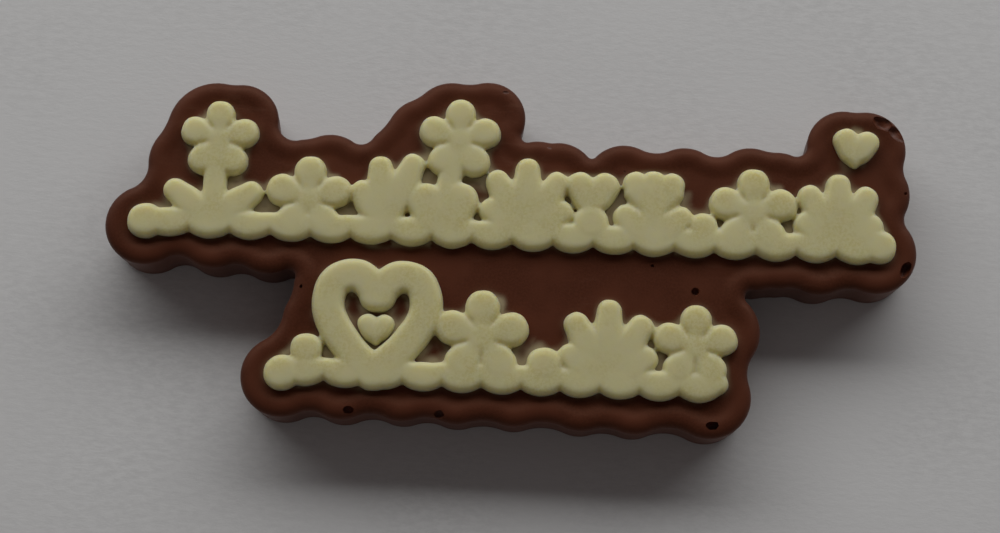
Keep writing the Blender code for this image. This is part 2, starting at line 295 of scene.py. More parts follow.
def scallops(start, end, y, pitch):
    """A level cord that swells downwards once every pitch."""
    count = round((end - start) / pitch)
    stations = count * 4
    stroke = []
    for i in range(stations + 1):
        x = start + (end - start) * i / stations
        swell = abs(math.sin(math.pi * count * i / stations))
        stroke.append((x, y - 0.5 * swell, 1.15 + 0.5 * swell))
    return [stroke]


def upper_garland():
    strokes = [ball(-43.0, 1.9, 2.0)]
    strokes += bloom((-35.3, 2.6), (-35.0, 12.0), 4.75)
    strokes += tuft(-35.3, 2.2, ((142, 7.0), (38, 7.0)))
    strokes += flower(-24.0, 5.2, 5.2)
    strokes += tuft(-14.9, 2.2, ((125, 6.4), (97, 8.6), (69, 9.6)))
    strokes += bloom((-8.0, 6.0), (-6.6, 13.1), 4.95)
    strokes += heart(-8.2, 4.4, 8.6, 4)
    strokes += fan(1.6, 2.2, 8.6, 3.4)
    strokes.append(ball(9.2, 3.7, 2.0))
    strokes += heart(9.3, 7.3, 6.4)
    strokes += tulip(16.5, 1.9, 8.4, 3.5)
    strokes.append(ball(22.4, 3.8, 1.6))
    strokes += flower(28.2, 5.7, 5.3)
    strokes += fan(38.2, 2.2, 8.2, 3.4)
    strokes.append(ball(43.0, 2.2, 1.9))
    strokes += scallops(-42.6, 42.8, 2.3, 4.7)
    return strokes


def lower_garland():
    strokes = [ball(-25.9, -15.5, 2.0), ball(-23.2, -12.6, 1.8)]
    strokes += heart_outline(-15.3, -8.9, 13.0, 1.85)
    strokes += flower(-3.0, -10.5, 5.6)
    strokes.append(ball(4.4, -13.4, 2.0))
    strokes += fan(11.7, -15.0, 9.2, 3.4)
    strokes += flower(21.8, -10.6, 5.0)
    strokes += scallops(-25.6, 24.6, -14.8, 4.6)
    return strokes


GARLANDS = {
    "garland_upper": upper_garland,
    "garland_lower": lower_garland,
    "heart_inner": lambda: heart(-15.3, -9.9, 4.2),
    "heart_accent": lambda: heart(40.2, 14.2, 5.4, -6),
}


# Node helpers

def link(tree, source, target):
    tree.links.new(source, target)


def add_node(tree, kind, **settings):
    node = tree.nodes.new(kind)
    for name, value in settings.items():
        setattr(node, name, value)
    return node


def math_node(tree, operation, *values, clamp=False):
    """A Math node whose inputs are numbers or sockets. It returns its output socket."""
    node = add_node(tree, "ShaderNodeMath", operation=operation, use_clamp=clamp)
    for socket, value in zip(node.inputs, values):
        if isinstance(value, (int, float)):
            socket.default_value = value
        else:
            link(tree, value, socket)
    return node.outputs[0]


def mix_colours(tree, share, first, second):
    """Mix two colours, each a colour or a socket, by a share that is a number or a socket."""
    node = add_node(tree, "ShaderNodeMix", data_type="RGBA", clamp_factor=True)
    for socket, value in ((node.inputs[0], share), (node.inputs[6], first), (node.inputs[7], second)):
        if hasattr(value, "is_linked"):
            link(tree, value, socket)
        elif isinstance(value, (int, float)):
            socket.default_value = value
        else:
            socket.default_value = (*value[:3], 1.0)
    return node.outputs[2]


def ramp(tree, value, low, high):
    """0 below low and 1 above high."""
    node = add_node(tree, "ShaderNodeMapRange", clamp=True, interpolation_type="SMOOTHSTEP")
    link(tree, value, node.inputs["Value"])
    node.inputs["From Min"].default_value = low
    node.inputs["From Max"].default_value = high
    return node.outputs[0]


def noise_node(tree, coordinates, size, detail, roughness):
    """Noise whose features are about size metres wide."""
    node = add_node(tree, "ShaderNodeTexNoise")
    link(tree, coordinates, node.inputs["Vector"])
    node.inputs["Detail"].default_value = detail
    node.inputs["Roughness"].default_value = roughness
    if isinstance(size, (int, float)):
        node.inputs["Scale"].default_value = 1.0 / size
    else:
        link(tree, math_node(tree, "DIVIDE", 1.0, size), node.inputs["Scale"])
    return node.outputs[0]


def new_group(name, inputs, outputs):
    """A shader node group with its input and output nodes."""
    group = bpy.data.node_groups.new(name, "ShaderNodeTree")
    for socket_name, kind, value in inputs:
        socket = group.interface.new_socket(socket_name, in_out="INPUT", socket_type=kind)
        socket.default_value = value
    for socket_name, kind in outputs:
        group.interface.new_socket(socket_name, in_out="OUTPUT", socket_type=kind)
    return group, group.nodes.new("NodeGroupInput"), group.nodes.new("NodeGroupOutput")


def chocolate_grain_group():
    """Shared by every chocolate: cloudy tone, fine crystals, pinholes and their height."""
    group, inlet, outlet = new_group(
        "Chocolate grain",
        [("Cloud size", "NodeSocketFloat", 0.006), ("Crystal size", "NodeSocketFloat", 0.0004),
         ("Pinholes", "NodeSocketFloat", 0.3)],
        [("Cloud", "NodeSocketFloat"), ("Crystals", "NodeSocketFloat"), ("Pits", "NodeSocketFloat"),
         ("Height", "NodeSocketFloat")])
    place = add_node(group, "ShaderNodeTexCoord").outputs["Object"]
    cloud = noise_node(group, place, inlet.outputs["Cloud size"], 3.0, 0.55)
    crystals = noise_node(group, place, inlet.outputs["Crystal size"], 3.0, 0.6)
    cells = add_node(group, "ShaderNodeTexVoronoi", feature="F1")
    link(group, place, cells.inputs["Vector"])
    cells.inputs["Scale"].default_value = 1 / 0.0026
    # Only some cells hold a pinhole, chosen by the cell's own random colour.
    chosen = math_node(group, "LESS_THAN", cells.outputs["Color"], inlet.outputs["Pinholes"])
    dot = ramp(group, cells.outputs["Distance"], 0.10, 0.045)
    pits = math_node(group, "MULTIPLY", chosen, dot)
    height = math_node(group, "MULTIPLY_ADD", crystals, 0.35, math_node(group, "MULTIPLY", cloud, 0.65))
    link(group, cloud, outlet.inputs["Cloud"])
    link(group, crystals, outlet.inputs["Crystals"])
    link(group, pits, outlet.inputs["Pits"])
    link(group, math_node(group, "SUBTRACT", height, pits), outlet.inputs["Height"])
    return group


def scuff_group():
    """Shared by the chocolates: faint long rubs from wrapping and handling."""
    group, inlet, outlet = new_group(
        "Handling rubs",
        [("Amount", "NodeSocketFloat", 0.5)],
        [("Mask", "NodeSocketFloat")])
    place = add_node(group, "ShaderNodeTexCoord").outputs["Object"]
    stretch = add_node(group, "ShaderNodeMapping")
    stretch.inputs["Rotation"].default_value = (0.0, 0.0, 0.5)
    stretch.inputs["Scale"].default_value = (1.0, 4.0, 1.0)
    link(group, place, stretch.inputs["Vector"])
    streaks = noise_node(group, stretch.outputs[0], 0.004, 4.0, 0.6)
    patches = noise_node(group, place, 0.011, 2.0, 0.5)
    mask = math_node(group, "MULTIPLY", ramp(group, streaks, 0.52, 0.72), ramp(group, patches, 0.48, 0.66))
    link(group, math_node(group, "MULTIPLY", mask, inlet.outputs["Amount"]), outlet.inputs["Mask"])
    return group


def place_group(tree, group, **values):
    node = add_node(tree, "ShaderNodeGroup", node_tree=group)
    for name, value in values.items():
        node.inputs[name.replace("_", " ")].default_value = value
    return node


def new_material(name):
    material = bpy.data.materials.new(name)
    material.use_nodes = True
    tree = material.node_tree
    return material, tree, tree.nodes["Principled BSDF"]


def bump(tree, height, distance, strength, target):
    node = add_node(tree, "ShaderNodeBump")
    node.inputs["Distance"].default_value = distance
    node.inputs["Strength"].default_value = strength
    link(tree, height, node.inputs["Height"])
    link(tree, node.outputs[0], target)


def milk_chocolate(settings, grain, rubs):
    """Satin brown chocolate with milky smears where the mask named smear is high."""
    material, tree, shader = new_material("milk_chocolate")
    brown = tuple(settings.milk_colour)
    parts = place_group(tree, grain, Cloud_size=0.007, Crystal_size=0.00026, Pinholes=0.12)
    rub = place_group(tree, rubs, Amount=0.14)
    dark = tuple(channel * 0.84 for channel in brown)
    light = (brown[0] * 1.16, brown[1] * 1.2, brown[2] * 1.28)
    base = mix_colours(tree, ramp(tree, parts.outputs["Cloud"], 0.35, 0.65), dark, light)
    speckle = math_node(tree, "MULTIPLY", ramp(tree, parts.outputs["Crystals"], 0.36, 0.64), 0.6)
    base = mix_colours(tree, speckle, base, light)
    base = mix_colours(tree, rub.outputs["Mask"], base, (0.20, 0.095, 0.062))
    # Painted shade: each pinhole is tinted to a darker copy of the brown, as if shade filled the hole.
    base = mix_colours(tree, parts.outputs["Pits"], base, tuple(channel * 0.35 for channel in brown))
    smear = add_node(tree, "ShaderNodeAttribute", attribute_name="smear")
    veil = math_node(tree, "MULTIPLY", smear.outputs["Fac"], settings.smear_strength)
    base = mix_colours(tree, veil, base, tuple(settings.smear_colour))
    link(tree, base, shader.inputs["Base Color"])
    rough = math_node(tree, "MULTIPLY_ADD", parts.outputs["Cloud"], 0.16, 0.42)
    rough = math_node(tree, "MULTIPLY_ADD", rub.outputs["Mask"], 0.2, rough)
    link(tree, rough, shader.inputs["Roughness"])
    shader.inputs["IOR"].default_value = 1.46
    shader.inputs["Specular Tint"].default_value = (0.46, 0.235, 0.145, 1.0)
    shader.inputs["Sheen Weight"].default_value = 0.08
    shader.inputs["Sheen Roughness"].default_value = 0.5
    shader.inputs["Sheen Tint"].default_value = (1.0, 0.82, 0.75, 1.0)
    bump(tree, parts.outputs["Height"], 0.00006, 0.5, shader.inputs["Normal"])
    return material


def bubble_chocolate(settings, grain):
    """The rough, paler inside of a burst bubble or a chip."""
    material, tree, shader = new_material("milk_chocolate_broken")
    brown = tuple(settings.milk_colour)
    parts = place_group(tree, grain, Cloud_size=0.0012, Crystal_size=0.0002, Pinholes=0.6)
    dark = (brown[0] * 0.8, brown[1] * 0.75, brown[2] * 0.6)
    light = (brown[0] * 2.1, brown[1] * 1.9, brown[2] * 1.3)
    base = mix_colours(tree, ramp(tree, parts.outputs["Cloud"], 0.3, 0.7), dark, light)
    link(tree, base, shader.inputs["Base Color"])
    rough = math_node(tree, "MULTIPLY_ADD", parts.outputs["Crystals"], 0.2, 0.45)
    link(tree, rough, shader.inputs["Roughness"])
    bump(tree, parts.outputs["Height"], 0.00012, 0.8, shader.inputs["Normal"])
    return material


def white_chocolate(settings, grain, rubs):
    """Ivory chocolate: satin, slightly translucent and faintly clouded."""
    material, tree, shader = new_material("white_chocolate")
    ivory = tuple(settings.white_colour)
    parts = place_group(tree, grain, Cloud_size=0.004, Crystal_size=0.0003, Pinholes=0.05)
    rub = place_group(tree, rubs, Amount=0.18)
    deep = (ivory[0] * 0.95, ivory[1] * 0.94, ivory[2] * 0.86)
    pale = (ivory[0] * 1.03, ivory[1] * 1.04, ivory[2] * 1.1)
    base = mix_colours(tree, ramp(tree, parts.outputs["Cloud"], 0.35, 0.65), deep, pale)
    base = mix_colours(tree, ramp(tree, parts.outputs["Crystals"], 0.36, 0.64), base, pale)
    base = mix_colours(tree, rub.outputs["Mask"], base, (0.78, 0.74, 0.52))
    # Painted shade: each pinhole is tinted to a darker, shaded ivory, as if shade filled the hole.
    base = mix_colours(tree, parts.outputs["Pits"], base, (0.42, 0.33, 0.14))
    link(tree, base, shader.inputs["Base Color"])
    rough = math_node(tree, "MULTIPLY_ADD", parts.outputs["Cloud"], 0.14, 0.38)
    link(tree, rough, shader.inputs["Roughness"])
    shader.inputs["IOR"].default_value = 1.46
    shader.inputs["Specular IOR Level"].default_value = 0.22
    shader.inputs["Subsurface Weight"].default_value = 1.0
    shader.inputs["Subsurface Radius"].default_value = (1.0, 0.85, 0.45)
    shader.inputs["Subsurface Scale"].default_value = 0.0026
    bump(tree, parts.outputs["Height"], 0.00005, 0.45, shader.inputs["Normal"])
    return material


def paper(settings):
    """Plain pale paper with a soft fibrous mottle."""
    material, tree, shader = new_material("studio_paper")
    tone = tuple(settings.paper_colour)
    place = add_node(tree, "ShaderNodeTexCoord").outputs["Object"]
    stretch = add_node(tree, "ShaderNodeMapping")
    stretch.inputs["Rotation"].default_value = (0.0, 0.0, 0.12)
    stretch.inputs["Scale"].default_value = (0.55, 1.3, 1.0)
    link(tree, place, stretch.inputs["Vector"])
    fibres = noise_node(tree, stretch.outputs[0], 0.0009, 4.0, 0.72)
    clouds = noise_node(tree, place, 0.03, 2.0, 0.5)
    base = mix_colours(tree, ramp(tree, fibres, 0.36, 0.64), tuple(c * 0.9 for c in tone), tone)
    base = mix_colours(tree, ramp(tree, clouds, 0.3, 0.7), base, tuple(c * 0.985 for c in tone))
    link(tree, base, shader.inputs["Base Color"])
    shader.inputs["Roughness"].default_value = 0.9
    bump(tree, fibres, 0.00008, 0.4, shader.inputs["Normal"])
    return material


# Mesh helpers

def mesh_object(name, mesh, material):
    """A finished piece: shown, at the origin, with one material first in its slots."""
    mesh.name = name
    item = bpy.data.objects.new(name, mesh)
    bpy.context.scene.collection.objects.link(item)
    if not mesh.materials:
        mesh.materials.append(material)
    return item


def evaluated_mesh(item):
    """The item's mesh with its modifiers applied."""
    bpy.context.view_layer.update()
    graph = bpy.context.evaluated_depsgraph_get()
    return bpy.data.meshes.new_from_object(item.evaluated_get(graph), depsgraph=graph)


def finish_piece(item, slot, *nodes):
    """Bind a piece to the frame in place of its CAD nodes."""
    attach(item, "root")
    if nodes:
        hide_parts(*nodes)


def read_places(mesh):
    """The mesh's points as rows of an array."""
    places = np.zeros(len(mesh.vertices) * 3)
    mesh.vertices.foreach_get("co", places)
    return places.reshape(-1, 3)


def write_places(mesh, places):
    mesh.vertices.foreach_set("co", places.ravel())


def smoothstep(value, low, high):
    share = np.clip((value - low) / (high - low), 0.0, 1.0)
    return share * share * (3 - 2 * share)


def cloud(points, size, seed):
    """Smooth noise from about -1 to 1 at points given in millimetres."""
    shift = Vector((seed * 17.3, seed * 9.1, seed * 5.7))
    return np.array([noise.noise(Vector(p) / size + shift) for p in points])


# Milk-chocolate body

def body_profile(sizes):
    """Inset and height of each ring in millimetres, from the foot to the edge of the field."""
    top = BASE_HIGH.z / MM
    field = top - sizes.field_depth / MM
    lean = sizes.wall_lean / MM
    shoulder = sizes.shoulder_width / MM
    rim = sizes.rim_width / MM
    bend = sizes.shoulder_height / MM
    wall = top - bend - FOOT_ROUND
    rings = []
    for k in range(FOOT_RINGS):
        angle = math.pi / 2 * k / FOOT_RINGS
        rings.append((lean + FOOT_ROUND * (1 - math.sin(angle)), FOOT_ROUND * (1 - math.cos(angle))))
    for k in range(WALL_RINGS + 1):
        share = k / WALL_RINGS
        rings.append((lean * (1 - share) ** 1.5, FOOT_ROUND + wall * share))
    for k in range(1, SHOULDER_RINGS + 1):
        angle = math.pi / 2 * k / SHOULDER_RINGS
        rings.append((shoulder * (1 - math.cos(angle)), top - bend + bend * math.sin(angle)))
    for k in range(1, RIM_RINGS + 1):
        share = k / RIM_RINGS
        height = top - (top - field) * (0.5 - 0.5 * math.cos(math.pi * share))
        rings.append((shoulder + (rim - shoulder) * share, height))
    return rings, field


def outline_distance(points, ring):
    """Distance in the plane from each point to the closed outline."""
    a = ring
    b = np.roll(ring, -1, axis=0)
    step = b - a
    length = (step ** 2).sum(axis=1)
    best = np.full(len(points), np.inf)
    for start in range(0, len(points), 2000):
        part = points[start:start + 2000, None, :] - a[None]
        share = np.clip((part * step[None]).sum(axis=2) / length[None], 0, 1)
        gap = part - share[..., None] * step[None]
        best[start:start + 2000] = np.sqrt((gap ** 2).sum(axis=2)).min(axis=1)
    return best


def inside_outline(points, ring):
    """Even-odd test of each point against the closed outline."""
    inside = np.zeros(len(points), bool)
    previous = np.roll(ring, 1, axis=0)
    for (x1, y1), (x2, y2) in zip(previous, ring):
        crosses = (y1 > points[:, 1]) != (y2 > points[:, 1])
        if y1 == y2:
            continue
        inside ^= crosses & (points[:, 0] < (x2 - x1) * (points[:, 1] - y1) / (y2 - y1) + x1)
    return inside


def field_points(ring, step):
    """A hexagonal grid inside the ring, kept clear of the ring itself."""
    low, high = ring.min(axis=0), ring.max(axis=0)
    rows = []
    lift = step * math.sqrt(3) / 2
    for j, y in enumerate(np.arange(low[1], high[1], lift)):
        xs = np.arange(low[0] + (step / 2 if j % 2 else 0.0), high[0], step)
        rows.append(np.stack([xs, np.full(len(xs), y)], axis=1))
    grid = np.concatenate(rows)
    grid = grid[inside_outline(grid, ring)]
    return grid[outline_distance(grid, ring) > step * 0.6]


def stroke_circles():
    """Every garland's strokes as dense rows (x, y, half width)."""
    groups = []
    for draw in GARLANDS.values():
        for stroke in draw():
            points = []
            for (ax, ay, ar), (bx, by, br) in zip(stroke, stroke[1:]):
                for k in range(6):
                    t = k / 6
                    points.append((ax + (bx - ax) * t, ay + (by - ay) * t, ar + (br - ar) * t))
            points.append(stroke[-1])
            groups.append(np.array(points))
    return groups


def smear_mask(points):
    """How strongly white chocolate veils the body: in narrow gaps, at stroke feet and in patches."""
    closeness = np.zeros(len(points))
    nearest = np.full(len(points), np.inf)
    pull = np.zeros_like(points)
    rows = np.arange(len(points))
    for circles in stroke_circles():
        offset = circles[None, :, :2] - points[:, None, :]
        reach = np.sqrt((offset ** 2).sum(axis=2))
        gap = reach - circles[None, :, 2]
        best = gap.argmin(axis=1)
        direction = offset[rows, best] / np.maximum(reach[rows, best], 1e-6)[:, None]
        gap = np.clip(gap[rows, best], 0, None)
        weight = np.exp(-gap / FILM_REACH)
        closeness += weight
        pull += direction * weight[:, None]
        nearest = np.minimum(nearest, gap)
    # 0 where strokes lie on opposite sides of a point and 1 where they all lie on one side.
    one_sided = np.hypot(pull[:, 0], pull[:, 1]) / np.maximum(closeness, 1e-6)
    flat = np.column_stack([points, np.zeros(len(points))])
    patchy = 0.5 + 0.9 * cloud(flat, 3.4, 3)
    fine = 0.5 + 0.7 * cloud(flat, 1.1, 8)
    mask = smoothstep(closeness, 0.8, 1.6) * smoothstep(patchy, -0.1, 0.7)
    mask *= 1 - smoothstep(one_sided, 0.72, 0.95)
    mask += 0.4 * np.exp(-nearest / HALO_REACH) * smoothstep(patchy, 0.2, 0.8)
    hug = 1 - smoothstep(nearest, *SMEAR_HUG)
    for x, y, radius, strength in SMEARS:
        away = np.hypot(points[:, 0] - x, points[:, 1] - y) / radius
        mask += strength * hug * smoothstep(-away + 0.35 * (fine - 0.5), -1.0, -0.35)
    return np.clip(mask * (0.72 + 0.4 * fine), 0.0, 1.0)


def build_body_mesh(sizes):
    """Rings from foot to rim, a triangulated field and a flat underside, all one closed mesh."""
    step = sizes.mesh_step / MM
    profile, field = body_profile(sizes)
    arcs = outline_arcs(step, profile[-1][0])
    rings = [inset_ring(arcs, inset) for inset, _ in profile]
    count = len(arcs)
    grid = field_points(rings[-1], step)
    inner = [Vector(p) for p in np.concatenate([rings[-1], grid])]
    edges = [(i, (i + 1) % count) for i in range(count)]
    flat, _, triangles, origins, _, _ = delaunay_2d_cdt(inner, edges, [], 1, 1e-6)
    body = bmesh.new()
    levels = []
    for ring, (_, height) in zip(rings, profile):
        levels.append([body.verts.new((x, y, height)) for x, y in ring])
    corners = []
    for point, source in zip(flat, origins):
        if source and source[0] < count:
            corners.append(levels[-1][source[0]])
        else:
            corners.append(body.verts.new((point.x, point.y, field)))
    for lower, upper in zip(levels, levels[1:]):
        for i in range(count):
            j = (i + 1) % count
            body.faces.new((lower[i], lower[j], upper[j], upper[i]))
    for triangle in triangles:
        body.faces.new([corners[i] for i in triangle])
    body.faces.new(levels[0][::-1])
    return body


def roughen_body(body, sizes):
    """Uneven casting: slow waves over the top and in the wall, none on the underside."""
    top = BASE_HIGH.z / MM
    places = np.array([vert.co for vert in body.verts])
    # Each wave is a broad one, in millimetres, with a finer and weaker one over it.
    wave = cloud(places, 7.0, 1) + 0.45 * cloud(places, 2.4, 2)
    sideways = cloud(places, 5.0, 4) + 0.5 * cloud(places, 1.8, 5)
    amount = sizes.unevenness / MM
    high = smoothstep(places[:, 2], top - 1.6, top - 0.5)
    wall = smoothstep(places[:, 2], 0.3, 1.2) * (1 - 0.7 * high)
    body.normal_update()
    for vert, rise, push, up, side in zip(body.verts, wave, sideways, high, wall):
        normal = vert.normal
        lift = amount * (rise - 1.0) * up
        vert.co.z += lift
        inward = amount * 1.3 * (push - 1.2) * side
        vert.co.x += normal.x * inward
        vert.co.y += normal.y * inward


def store_smears(mesh):
    """Keep the film's strength on each point, for the body's material to read."""
    places = read_places(mesh)
    lowest_top = places[:, 2].max() - 1.0
    values = np.zeros(len(places))
    on_top = places[:, 2] > lowest_top
    values[on_top] = smear_mask(places[on_top, :2])
    attribute = mesh.attributes.new("smear", "FLOAT", "POINT")
    attribute.data.foreach_set("value", values.astype(np.float32))


def blemish_cutter(index, blemish, material):
    """A lumpy pebble that leaves a burst bubble or a chip when it is cut away."""
    x, y, z, half_length, half_width, depth, turn = blemish
    pebble = bmesh.new()
    bmesh.ops.create_icosphere(pebble, subdivisions=4 if half_length > 0.6 else 3, radius=1.0)
    for vert in pebble.verts:
        lump = 1 + 0.16 * noise.noise(vert.co * 1.7 + Vector((index * 3.1, 0, 0)))
        px, py, pz = vert.co * lump
        along, across = turned_point(x, y, px * half_length, py * half_width, turn)
        vert.co = Vector((along, across, z + pz * depth))
    mesh = bpy.data.meshes.new("pebble")
    pebble.to_mesh(mesh)
    pebble.free()
    mesh.materials.append(material)
    item = bpy.data.objects.new("pebble", mesh)
    bpy.context.scene.collection.objects.link(item)
    return item


def cut_blemishes(item, material):
    group = bpy.data.collections.new("pebbles")
    bpy.context.scene.collection.children.link(group)
    pebbles = []
    for index, blemish in enumerate(BLEMISHES):
        pebble = blemish_cutter(index, blemish, material)
        bpy.context.scene.collection.objects.unlink(pebble)
        group.objects.link(pebble)
        pebbles.append(pebble)
    cut = item.modifiers.new("burst bubbles", "BOOLEAN")
    cut.operation = "DIFFERENCE"
    cut.operand_type = "COLLECTION"
    cut.collection = group
    cut.solver = "EXACT"
    cut.material_mode = "TRANSFER"
    mesh = evaluated_mesh(item)
    item.modifiers.clear()
    item.data = mesh
    for pebble in pebbles:
        bpy.data.objects.remove(pebble, do_unlink=True)
    bpy.data.collections.remove(group)


def to_frame(mesh):
    """From drawing millimetres to the frame's metres."""
    places = read_places(mesh)
    places[:, 0] -= CENTRE[0]
    places[:, 1] -= CENTRE[1]
    write_places(mesh, places * MM)
    mesh.update()


# Garlands

def store_value(tree, geometry, name, value):
    """Store a number on each point, for use after the sweep."""
    node = add_node(tree, "GeometryNodeStoreNamedAttribute", data_type="FLOAT", domain="POINT")
    node.inputs["Name"].default_value = name
    link(tree, geometry, node.inputs["Geometry"])
    link(tree, value, node.inputs["Value"])
    return node.outputs["Geometry"]


def stored_value(tree, name):
    node = add_node(tree, "GeometryNodeInputNamedAttribute", data_type="FLOAT")
    node.inputs["Name"].default_value = name
    return node.outputs[0]


def garland_tree(material):
    """Sweeps a flat-topped dome along every stroke, with rounded ends and a little wander."""
    tree = bpy.data.node_groups.new("Garland strokes", "GeometryNodeTree")
    tree.interface.new_socket("Geometry", in_out="INPUT", socket_type="NodeSocketGeometry")
    for name, value in SWEEP_INPUTS.items():
        socket = tree.interface.new_socket(name, in_out="INPUT", socket_type="NodeSocketFloat")
        socket.default_value = value
    tree.interface.new_socket("Geometry", in_out="OUTPUT", socket_type="NodeSocketGeometry")
    inlet = tree.nodes.new("NodeGroupInput")
    outlet = tree.nodes.new("NodeGroupOutput")
    size = inlet.outputs

    spline = add_node(tree, "GeometryNodeCurveSplineType", spline_type="CATMULL_ROM")
    link(tree, size["Geometry"], spline.inputs["Curve"])
    dense = add_node(tree, "GeometryNodeResampleCurve", mode="LENGTH")
    link(tree, spline.outputs["Curve"], dense.inputs["Curve"])
    link(tree, size["Step"], dense.inputs["Length"])

    # Along the stroke: its half width, how deep each station lies in a rounded end, and the
    # half width that the round end leaves there.
    half = add_node(tree, "GeometryNodeInputRadius").outputs[0]
    total = add_node(tree, "GeometryNodeSplineLength").outputs["Length"]
    passed = add_node(tree, "GeometryNodeSplineParameter").outputs["Length"]
    left = math_node(tree, "SUBTRACT", total, passed)
    away = math_node(tree, "SUBTRACT", half, math_node(tree, "MINIMUM", passed, left))
    away = math_node(tree, "MAXIMUM", away, 0.0)
    away_square = math_node(tree, "POWER", away, 2.0)
    square = math_node(tree, "SUBTRACT", math_node(tree, "POWER", half, 2.0), away_square)
    root = math_node(tree, "SQRT", math_node(tree, "MAXIMUM", square, 0.0))
    chord = math_node(tree, "MAXIMUM", root, 0.01)
    rise = math_node(tree, "MULTIPLY_ADD", half, size["Rise per width"], size["Base rise"])
    rise = math_node(tree, "MINIMUM", rise, size["Highest"])
    curve = dense.outputs["Curve"]
    for name, value in (("half", half), ("away", away), ("chord", chord), ("rise", rise)):
        curve = store_value(tree, curve, name, value)

    ring = add_node(tree, "GeometryNodeCurvePrimitiveCircle", mode="RADIUS")
    ring.inputs["Resolution"].default_value = SWEEP_SIDES
    ring.inputs["Radius"].default_value = 1.0
    ring_place = add_node(tree, "ShaderNodeSeparateXYZ")
    link(tree, add_node(tree, "GeometryNodeInputPosition").outputs[0], ring_place.inputs[0])
    ring = store_value(tree, ring.outputs["Curve"], "across", ring_place.outputs[0])

    sweep = add_node(tree, "GeometryNodeCurveToMesh")
    link(tree, curve, sweep.inputs["Curve"])
    link(tree, ring, sweep.inputs["Profile Curve"])
    link(tree, stored_value(tree, "chord"), sweep.inputs["Scale"])
    sweep.inputs["Fill Caps"].default_value = True

    # Height: a flat top whose shoulder falls off within a set width of the stroke's edge.
    place = add_node(tree, "GeometryNodeInputPosition").outputs[0]
    split = add_node(tree, "ShaderNodeSeparateXYZ")
    link(tree, place, split.inputs[0])
    half = stored_value(tree, "half")
    aside = math_node(tree, "MULTIPLY", stored_value(tree, "across"), stored_value(tree, "chord"))
    reach = math_node(tree, "POWER", aside, 2.0)
    reach = math_node(tree, "ADD", reach, math_node(tree, "POWER", stored_value(tree, "away"), 2.0))
    depth = math_node(tree, "SUBTRACT", half, math_node(tree, "SQRT", reach))
    width = math_node(tree, "MINIMUM", half, size["Shoulder"])
    share = math_node(tree, "SUBTRACT", 1.0, math_node(tree, "DIVIDE", depth, width, clamp=True))
    bend = math_node(tree, "SUBTRACT", 1.0, math_node(tree, "POWER", share, size["Squareness"]))
    bend = math_node(tree, "POWER", bend, math_node(tree, "DIVIDE", 1.0, size["Squareness"]))
    above = math_node(tree, "GREATER_THAN", split.outputs[2], 0.0)
    top = math_node(tree, "MULTIPLY_ADD", bend, stored_value(tree, "rise"), size["Foot"])
    low = math_node(tree, "SUBTRACT", size["Foot"], size["Sunk"])
    height = add_node(tree, "ShaderNodeMix", data_type="FLOAT")
    link(tree, above, height.inputs[0])
    link(tree, low, height.inputs[2])
    link(tree, top, height.inputs[3])

    wander = add_node(tree, "ShaderNodeTexNoise")
    wander.inputs["Scale"].default_value = 0.28
    wander.inputs["Detail"].default_value = 2.0
    link(tree, place, wander.inputs["Vector"])
    shift = add_node(tree, "ShaderNodeSeparateXYZ")
    link(tree, wander.outputs["Color"], shift.inputs[0])
    moved = add_node(tree, "ShaderNodeCombineXYZ")
    for axis in (0, 1):
        offset = math_node(tree, "SUBTRACT", shift.outputs[axis], 0.5)
        offset = math_node(tree, "MULTIPLY", offset, size["Wander"])
        link(tree, math_node(tree, "ADD", split.outputs[axis], offset), moved.inputs[axis])
    link(tree, height.outputs[0], moved.inputs[2])
    shaped = add_node(tree, "GeometryNodeSetPosition")
    link(tree, sweep.outputs["Mesh"], shaped.inputs["Geometry"])
    link(tree, moved.outputs[0], shaped.inputs["Position"])

    real = add_node(tree, "GeometryNodeRealizeInstances")
    link(tree, shaped.outputs["Geometry"], real.inputs["Geometry"])
    paint = add_node(tree, "GeometryNodeSetMaterial")
    paint.inputs["Material"].default_value = material
    link(tree, real.outputs["Geometry"], paint.inputs["Geometry"])
    link(tree, paint.outputs["Geometry"], outlet.inputs["Geometry"])
    return tree


def lengthened(stroke):
    """The stroke run on at both ends by its half width, which its rounded ends then take up."""
    def beyond(end, inner):
        gap = math.hypot(end[0] - inner[0], end[1] - inner[1])
        share = end[2] / gap
        return end[0] + (end[0] - inner[0]) * share, end[1] + (end[1] - inner[1]) * share, end[2]

    return [beyond(stroke[0], stroke[1]), *stroke, beyond(stroke[-1], stroke[-2])]


def strokes_curve(name, strokes, spread):
    """A curve object with one spline for each stroke; its radius is the stroke's half width."""
    curve = bpy.data.curves.new(name, "CURVE")
    curve.dimensions = "3D"
    for stroke in strokes:
        points = lengthened([(x, y, width + spread) for x, y, width in stroke])
        spline = curve.splines.new("POLY")
        spline.points.add(len(points) - 1)
        for point, (x, y, half) in zip(spline.points, points):
            point.co = (x, y, 0.0, 1.0)
            point.radius = half
    item = bpy.data.objects.new(name, curve)
    bpy.context.scene.collection.objects.link(item)
    return item


def set_input(modifier, tree, name, value):
    """Set a node modifier's input by its socket's identifier."""
    for socket in tree.interface.items_tree:
        if socket.item_type == "SOCKET" and socket.in_out == "INPUT" and socket.name == name:
            modifier[socket.identifier] = value
            return
    raise KeyError(name)


def swept_strokes(name, strokes, tree, sizes):
    """The strokes as overlapping domes in one plain mesh."""
    guide = strokes_curve(name + "_guide", strokes, sizes.spread / MM)
    modifier = guide.modifiers.new("strokes", "NODES")
    modifier.node_group = tree
    set_input(modifier, tree, "Squareness", sizes.squareness)
    set_input(modifier, tree, "Shoulder", sizes.shoulder_width / MM)
    set_input(modifier, tree, "Wander", sizes.wander / MM)
    mesh = evaluated_mesh(guide)
    bpy.data.objects.remove(guide, do_unlink=True)
    return mesh


